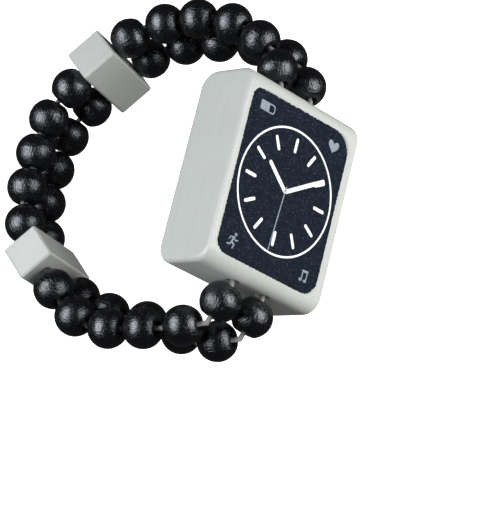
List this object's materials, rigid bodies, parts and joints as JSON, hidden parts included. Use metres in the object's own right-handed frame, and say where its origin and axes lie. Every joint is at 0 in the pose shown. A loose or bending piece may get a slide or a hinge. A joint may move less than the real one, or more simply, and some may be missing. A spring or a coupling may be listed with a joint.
{
  "type": "toy wristwatch",
  "caption": "Wooden toy wristwatch: a rounded block with a printed dial on one face and digits on the other, on a stretchy double strand of beads with square spacers.",
  "frame": {"origin": "centre of the block's back face, the one that lies on the wrist", "axes": "+X to 3 o'clock, +Y to 12 o'clock, +Z out of the dial; the strap hangs below, towards -Z, and leans to 9 o'clock"},
  "size_m": [0.0407, 0.0723, 0.0578],
  "materials": {
    "painted_wood": "satin grey paint with faint grain",
    "stained_beads": "black stain, semi-gloss, grainy",
    "navy_ink": "matte print",
    "white_ink": "matte print",
    "grey_ink": "matte print",
    "elastic": "matte"
  },
  "bodies": {
    "block": {"block": "painted_wood", "front_panel": "navy_ink", "front_marks": "white_ink", "front_symbols": "grey_ink", "back_panel": "navy_ink", "back_digits": "white_ink", "elastic_knots": "elastic"},
    "pair_09": {"elastic_09": "elastic"},
    "pair_01": {"elastic_01": "elastic"},
    "pair_02": {"elastic_02": "elastic"},
    "pair_03": {"elastic_03": "elastic"},
    "pair_04": {"elastic_04": "elastic"},
    "pair_05": {"elastic_05": "elastic"},
    "pair_06": {"elastic_06": "elastic"},
    "pair_07": {"elastic_07": "elastic"},
    "pair_08": {"elastic_08": "elastic"},
    "pair_10": {"elastic_10": "elastic"},
    "pair_11": {"elastic_11": "elastic"},
    "pair_12": {"elastic_12": "elastic"},
    "pair_13": {"elastic_13": "elastic"},
    "pair_14": {"elastic_14": "elastic"},
    "pair_15": {"elastic_15": "elastic"},
    "pair_16": {"elastic_16": "elastic"},
    "pair_17": {"elastic_17": "elastic"},
    "spacer_upper": {"spacer_upper": "painted_wood"},
    "spacer_lower": {"spacer_lower": "painted_wood"},
    "bead_nine_01": {"bead_nine_01": "stained_beads"},
    "bead_three_01": {"bead_three_01": "stained_beads"},
    "bead_nine_02": {"bead_nine_02": "stained_beads"},
    "bead_three_02": {"bead_three_02": "stained_beads"},
    "bead_nine_03": {"bead_nine_03": "stained_beads"},
    "bead_three_03": {"bead_three_03": "stained_beads"},
    "bead_nine_04": {"bead_nine_04": "stained_beads"},
    "bead_three_04": {"bead_three_04": "stained_beads"},
    "bead_nine_05": {"bead_nine_05": "stained_beads"},
    "bead_three_05": {"bead_three_05": "stained_beads"},
    "bead_nine_06": {"bead_nine_06": "stained_beads"},
    "bead_three_06": {"bead_three_06": "stained_beads"},
    "bead_nine_07": {"bead_nine_07": "stained_beads"},
    "bead_three_07": {"bead_three_07": "stained_beads"},
    "bead_nine_08": {"bead_nine_08": "stained_beads"},
    "bead_three_08": {"bead_three_08": "stained_beads"},
    "bead_nine_09": {"bead_nine_09": "stained_beads"},
    "bead_three_09": {"bead_three_09": "stained_beads"},
    "bead_nine_10": {"bead_nine_10": "stained_beads"},
    "bead_three_10": {"bead_three_10": "stained_beads"},
    "bead_nine_11": {"bead_nine_11": "stained_beads"},
    "bead_three_11": {"bead_three_11": "stained_beads"},
    "bead_nine_12": {"bead_nine_12": "stained_beads"},
    "bead_three_12": {"bead_three_12": "stained_beads"},
    "bead_nine_13": {"bead_nine_13": "stained_beads"},
    "bead_three_13": {"bead_three_13": "stained_beads"},
    "bead_nine_14": {"bead_nine_14": "stained_beads"},
    "bead_three_14": {"bead_three_14": "stained_beads"},
    "bead_nine_15": {"bead_nine_15": "stained_beads"},
    "bead_three_15": {"bead_three_15": "stained_beads"},
    "bead_nine_16": {"bead_nine_16": "stained_beads"},
    "bead_three_16": {"bead_three_16": "stained_beads"},
    "bead_nine_17": {"bead_nine_17": "stained_beads"},
    "bead_three_17": {"bead_three_17": "stained_beads"}
  },
  "joints": [
    {"name": "band_stretch", "type": "slide", "parent": "block", "child": "pair_09", "axis": [-0.3416, 0.0507, -0.9385], "range_m": [0, 0.00719], "stiffness_N_per_m": 120, "springref_m": -0.002},
    {"name": "stretch_pair_01", "type": "slide", "parent": "block", "child": "pair_01", "axis": [-0.024, 0.9975, -0.066], "range_m": [0, 0.00351]},
    {"name": "stretch_pair_02", "type": "slide", "parent": "block", "child": "pair_02", "axis": [-0.0795, 0.9726, -0.2184], "range_m": [0, 0.00442]},
    {"name": "stretch_pair_03", "type": "slide", "parent": "block", "child": "pair_03", "axis": [-0.1373, 0.9159, -0.3771], "range_m": [0, 0.00513]},
    {"name": "stretch_pair_04", "type": "slide", "parent": "block", "child": "pair_04", "axis": [-0.1924, 0.8269, -0.5285], "range_m": [0, 0.00573]},
    {"name": "stretch_pair_05", "type": "slide", "parent": "block", "child": "pair_05", "axis": [-0.234, 0.7294, -0.6428], "range_m": [0, 0.00624]},
    {"name": "stretch_pair_06", "type": "slide", "parent": "block", "child": "pair_06", "axis": [-0.2713, 0.6089, -0.7454], "range_m": [0, 0.00666]},
    {"name": "stretch_pair_07", "type": "slide", "parent": "block", "child": "pair_07", "axis": [-0.3222, 0.3357, -0.8852], "range_m": [0, 0.00717]},
    {"name": "stretch_pair_08", "type": "slide", "parent": "block", "child": "pair_08", "axis": [-0.3355, 0.1944, -0.9218], "range_m": [0, 0.00738]},
    {"name": "stretch_pair_10", "type": "slide", "parent": "block", "child": "pair_10", "axis": [-0.3406, -0.0907, -0.9358], "range_m": [0, 0.00739]},
    {"name": "stretch_pair_11", "type": "slide", "parent": "block", "child": "pair_11", "axis": [-0.3321, -0.2392, -0.9124], "range_m": [0, 0.00731]},
    {"name": "stretch_pair_12", "type": "slide", "parent": "block", "child": "pair_12", "axis": [-0.2899, -0.5307, -0.7964], "range_m": [0, 0.00654]},
    {"name": "stretch_pair_13", "type": "slide", "parent": "block", "child": "pair_13", "axis": [-0.2567, -0.6608, -0.7053], "range_m": [0, 0.00609]},
    {"name": "stretch_pair_14", "type": "slide", "parent": "block", "child": "pair_14", "axis": [-0.2144, -0.7792, -0.5889], "range_m": [0, 0.00541]},
    {"name": "stretch_pair_15", "type": "slide", "parent": "block", "child": "pair_15", "axis": [-0.1602, -0.8835, -0.4401], "range_m": [0, 0.00487]},
    {"name": "stretch_pair_16", "type": "slide", "parent": "block", "child": "pair_16", "axis": [-0.0854, -0.9684, -0.2345], "range_m": [0, 0.00441]},
    {"name": "stretch_pair_17", "type": "slide", "parent": "block", "child": "pair_17", "axis": [-0.0178, -0.9987, -0.0488], "range_m": [0, 0.00352]},
    {"name": "stretch_spacer_upper", "type": "slide", "parent": "block", "child": "spacer_upper", "axis": [-0.3013, 0.4735, -0.8277], "range_m": [0, 0.00689]},
    {"name": "stretch_spacer_lower", "type": "slide", "parent": "block", "child": "spacer_lower", "axis": [-0.3152, -0.388, -0.8661], "range_m": [0, 0.00696]},
    {"name": "bead_nine_01_spin", "type": "hinge", "parent": "pair_01", "child": "bead_nine_01", "pos_m": [-0.00476, 0.0236, 0.00824], "axis": [-0.168, 0.8997, -0.4029], "continuous": true},
    {"name": "bead_three_01_spin", "type": "hinge", "parent": "pair_01", "child": "bead_three_01", "pos_m": [0.00362, 0.0236, 0.00804], "axis": [-0.1433, 0.8809, -0.4511], "continuous": true},
    {"name": "bead_nine_02_spin", "type": "hinge", "parent": "pair_02", "child": "bead_nine_02", "pos_m": [-0.00665, 0.0294, 0.00342], "axis": [-0.2998, 0.5336, -0.7908], "continuous": true},
    {"name": "bead_three_02_spin", "type": "hinge", "parent": "pair_02", "child": "bead_three_02", "pos_m": [0.00186, 0.02924, 0.00282], "axis": [-0.2874, 0.4913, -0.8222], "continuous": true},
    {"name": "bead_nine_03_spin", "type": "hinge", "parent": "pair_03", "child": "bead_nine_03", "pos_m": [-0.00901, 0.03269, -0.00302], "axis": [-0.3156, 0.3271, -0.8908], "continuous": true},
    {"name": "bead_three_03_spin", "type": "hinge", "parent": "pair_03", "child": "bead_three_03", "pos_m": [-0.00065, 0.03175, -0.00411], "axis": [-0.3453, 0.152, -0.9261], "continuous": true},
    {"name": "bead_nine_04_spin", "type": "hinge", "parent": "pair_04", "child": "bead_nine_04", "pos_m": [-0.01165, 0.03325, -0.01032], "axis": [-0.342, -0.1881, -0.9207], "continuous": true},
    {"name": "bead_three_04_spin", "type": "hinge", "parent": "pair_04", "child": "bead_three_04", "pos_m": [-0.00355, 0.0321, -0.01205], "axis": [-0.3354, -0.0689, -0.9395], "continuous": true},
    {"name": "bead_nine_05_spin", "type": "hinge", "parent": "pair_05", "child": "bead_nine_05", "pos_m": [-0.01412, 0.03188, -0.01705], "axis": [-0.3337, -0.1873, -0.9239], "continuous": true},
    {"name": "bead_three_05_spin", "type": "hinge", "parent": "pair_05", "child": "bead_three_05", "pos_m": [-0.00608, 0.03109, -0.01905], "axis": [-0.337, -0.2049, -0.9189], "continuous": true},
    {"name": "bead_nine_06_spin", "type": "hinge", "parent": "pair_06", "child": "bead_nine_06", "pos_m": [-0.0165, 0.02839, -0.02357], "axis": [-0.2551, -0.6773, -0.6901], "continuous": true},
    {"name": "bead_three_06_spin", "type": "hinge", "parent": "pair_06", "child": "bead_three_06", "pos_m": [-0.00852, 0.02776, -0.02577], "axis": [-0.2653, -0.6183, -0.7398], "continuous": true},
    {"name": "bead_nine_07_spin", "type": "hinge", "parent": "pair_07", "child": "bead_nine_07", "pos_m": [-0.02001, 0.01693, -0.03319], "axis": [-0.2036, -0.8038, -0.5589], "continuous": true},
    {"name": "bead_three_07_spin", "type": "hinge", "parent": "pair_07", "child": "bead_three_07", "pos_m": [-0.01208, 0.01651, -0.03559], "axis": [-0.2037, -0.803, -0.5601], "continuous": true},
    {"name": "bead_nine_08_spin", "type": "hinge", "parent": "pair_08", "child": "bead_nine_08", "pos_m": [-0.02114, 0.01015, -0.03627], "axis": [-0.0913, -0.9647, -0.2472], "continuous": true},
    {"name": "bead_three_08_spin", "type": "hinge", "parent": "pair_08", "child": "bead_three_08", "pos_m": [-0.01326, 0.00979, -0.03884], "axis": [-0.1027, -0.9528, -0.2858], "continuous": true},
    {"name": "bead_nine_09_spin", "type": "hinge", "parent": "pair_09", "child": "bead_nine_09", "pos_m": [-0.02144, 0.00275, -0.03707], "axis": [0.0138, -0.9992, 0.0372], "continuous": true},
    {"name": "bead_three_09_spin", "type": "hinge", "parent": "pair_09", "child": "bead_three_09", "pos_m": [-0.01367, 0.00246, -0.03998], "axis": [-0.0068, -0.9998, -0.0181], "continuous": true},
    {"name": "bead_nine_10_spin", "type": "hinge", "parent": "pair_10", "child": "bead_nine_10", "pos_m": [-0.02136, -0.00455, -0.03687], "axis": [0.006, -0.9998, 0.017], "continuous": true},
    {"name": "bead_three_10_spin", "type": "hinge", "parent": "pair_10", "child": "bead_three_10", "pos_m": [-0.01364, -0.00477, -0.03991], "axis": [0.0131, -0.9993, 0.0352], "continuous": true},
    {"name": "bead_nine_11_spin", "type": "hinge", "parent": "pair_11", "child": "bead_nine_11", "pos_m": [-0.02076, -0.01215, -0.03521], "axis": [0.1458, -0.9047, 0.4004], "continuous": true},
    {"name": "bead_three_11_spin", "type": "hinge", "parent": "pair_11", "child": "bead_three_11", "pos_m": [-0.01296, -0.01214, -0.03804], "axis": [0.1613, -0.8817, 0.4434], "continuous": true},
    {"name": "bead_nine_12_spin", "type": "hinge", "parent": "pair_12", "child": "bead_nine_12", "pos_m": [-0.0171, -0.02467, -0.02562], "axis": [0.2552, -0.7667, 0.5892], "continuous": true},
    {"name": "bead_three_12_spin", "type": "hinge", "parent": "pair_12", "child": "bead_three_12", "pos_m": [-0.00916, -0.02341, -0.02714], "axis": [0.2649, -0.4819, 0.8352], "continuous": true},
    {"name": "bead_nine_13_spin", "type": "hinge", "parent": "pair_13", "child": "bead_nine_13", "pos_m": [-0.01466, -0.02947, -0.02013], "axis": [0.3663, -0.4568, 0.8107], "continuous": true},
    {"name": "bead_three_13_spin", "type": "hinge", "parent": "pair_13", "child": "bead_three_13", "pos_m": [-0.00692, -0.02608, -0.01977], "axis": [0.2775, -0.1678, 0.946], "continuous": true},
    {"name": "bead_nine_14_spin", "type": "hinge", "parent": "pair_14", "child": "bead_nine_14", "pos_m": [-0.01193, -0.03109, -0.0129], "axis": [0.2999, 0.0661, 0.9517], "continuous": true},
    {"name": "bead_three_14_spin", "type": "hinge", "parent": "pair_14", "child": "bead_three_14", "pos_m": [-0.00404, -0.02696, -0.01158], "axis": [0.38, -0.0317, 0.9244], "continuous": true},
    {"name": "bead_nine_15_spin", "type": "hinge", "parent": "pair_15", "child": "bead_nine_15", "pos_m": [-0.00966, -0.03045, -0.00546], "axis": [0.2827, 0.0972, 0.9543], "continuous": true},
    {"name": "bead_three_15_spin", "type": "hinge", "parent": "pair_15", "child": "bead_three_15", "pos_m": [-0.00102, -0.02844, -0.00447], "axis": [0.379, -0.345, 0.8587], "continuous": true},
    {"name": "bead_nine_16_spin", "type": "hinge", "parent": "pair_16", "child": "bead_nine_16", "pos_m": [-0.00698, -0.02911, 0.00242], "axis": [0.351, 0.2215, 0.9098], "continuous": true},
    {"name": "bead_three_16_spin", "type": "hinge", "parent": "pair_16", "child": "bead_three_16", "pos_m": [0.00185, -0.0291, 0.00288], "axis": [0.3177, 0.1915, 0.9286], "continuous": true},
    {"name": "bead_nine_17_spin", "type": "hinge", "parent": "pair_17", "child": "bead_nine_17", "pos_m": [-0.00464, -0.02364, 0.00844], "axis": [0.1363, 0.9285, 0.3454], "continuous": true},
    {"name": "bead_three_17_spin", "type": "hinge", "parent": "pair_17", "child": "bead_three_17", "pos_m": [0.0038, -0.02371, 0.00864], "axis": [0.096, 0.9513, 0.2928], "continuous": true}
  ],
  "couplings": [
    {"joint": "stretch_pair_01", "follows": "band_stretch", "ratio": 0.46037},
    {"joint": "stretch_pair_02", "follows": "band_stretch", "ratio": 0.58664},
    {"joint": "stretch_pair_03", "follows": "band_stretch", "ratio": 0.68458},
    {"joint": "stretch_pair_04", "follows": "band_stretch", "ratio": 0.76911},
    {"joint": "stretch_pair_05", "follows": "band_stretch", "ratio": 0.84007},
    {"joint": "stretch_pair_06", "follows": "band_stretch", "ratio": 0.89727},
    {"joint": "stretch_pair_07", "follows": "band_stretch", "ratio": 0.96939},
    {"joint": "stretch_pair_08", "follows": "band_stretch", "ratio": 0.99772},
    {"joint": "stretch_pair_10", "follows": "band_stretch", "ratio": 1.0002},
    {"joint": "stretch_pair_11", "follows": "band_stretch", "ratio": 0.98804},
    {"joint": "stretch_pair_12", "follows": "band_stretch", "ratio": 0.88163},
    {"joint": "stretch_pair_13", "follows": "band_stretch", "ratio": 0.81814},
    {"joint": "stretch_pair_14", "follows": "band_stretch", "ratio": 0.72495},
    {"joint": "stretch_pair_15", "follows": "band_stretch", "ratio": 0.64853},
    {"joint": "stretch_pair_16", "follows": "band_stretch", "ratio": 0.58493},
    {"joint": "stretch_pair_17", "follows": "band_stretch", "ratio": 0.46133},
    {"joint": "stretch_spacer_upper", "follows": "band_stretch", "ratio": 0.93035},
    {"joint": "stretch_spacer_lower", "follows": "band_stretch", "ratio": 0.93903}
  ]
}
